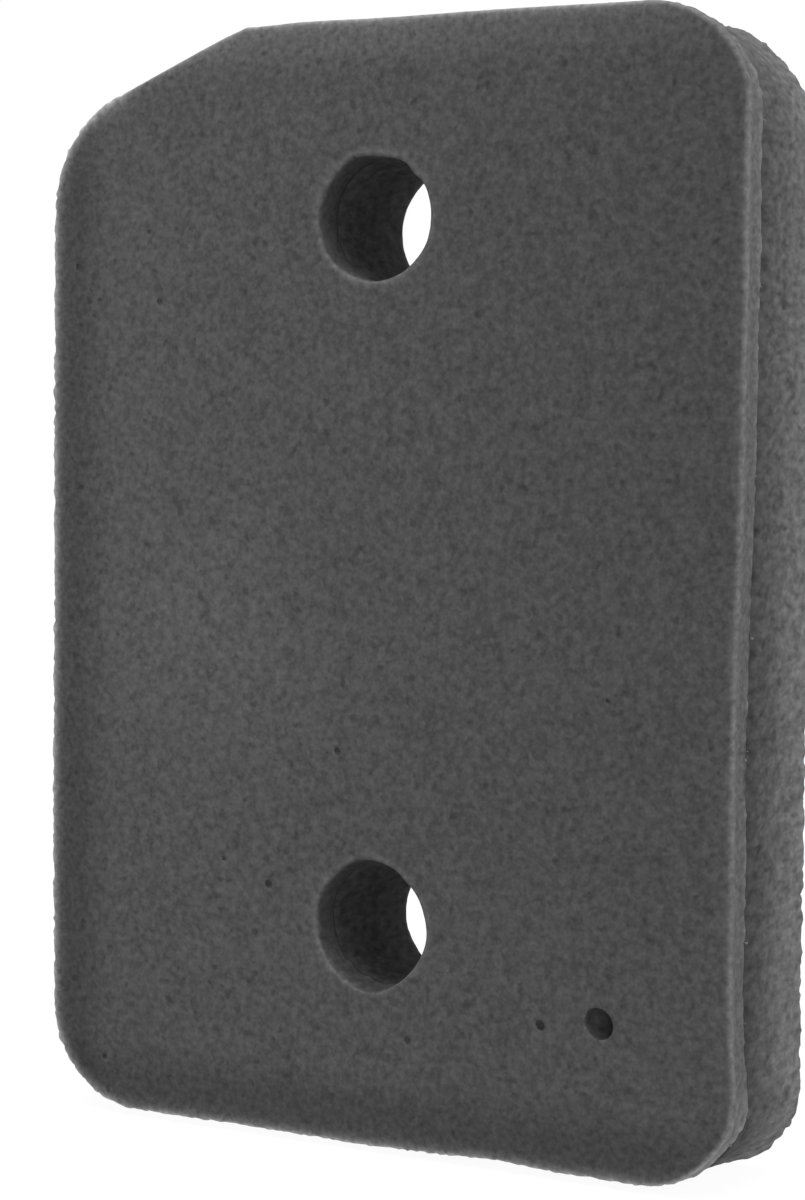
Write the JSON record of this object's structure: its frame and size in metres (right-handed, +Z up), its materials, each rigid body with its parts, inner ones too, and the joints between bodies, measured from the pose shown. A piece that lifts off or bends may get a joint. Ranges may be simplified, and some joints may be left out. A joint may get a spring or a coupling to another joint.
{
  "type": "air filter foam element",
  "caption": "Upright two-layer filter foam pad: fine front layer bonded to a coarse back layer, rounded corners, one slanted corner, round peg holes right through.",
  "frame": {"origin": "bottom centre of the pad's bounding box, with the pad standing upright on its bottom edge", "axes": "+Z up along the pad's height, +X across its width to the right as seen from the fine face, +Y through its thickness from the fine face to the coarse back face"},
  "size_m": [0.147, 0.031, 0.207],
  "materials": {
    "fine_foam": "fine open-cell polyurethane foam, dark grey, matt",
    "bond_adhesive": "thin adhesive web, dark grey, dull",
    "coarse_foam": "coarse open-cell polyurethane foam, grey, matt"
  },
  "bodies": {
    "root": {"fine_foam_layer": "fine_foam", "bond_web": "bond_adhesive", "coarse_foam_layer": "coarse_foam"}
  },
  "joints": []
}
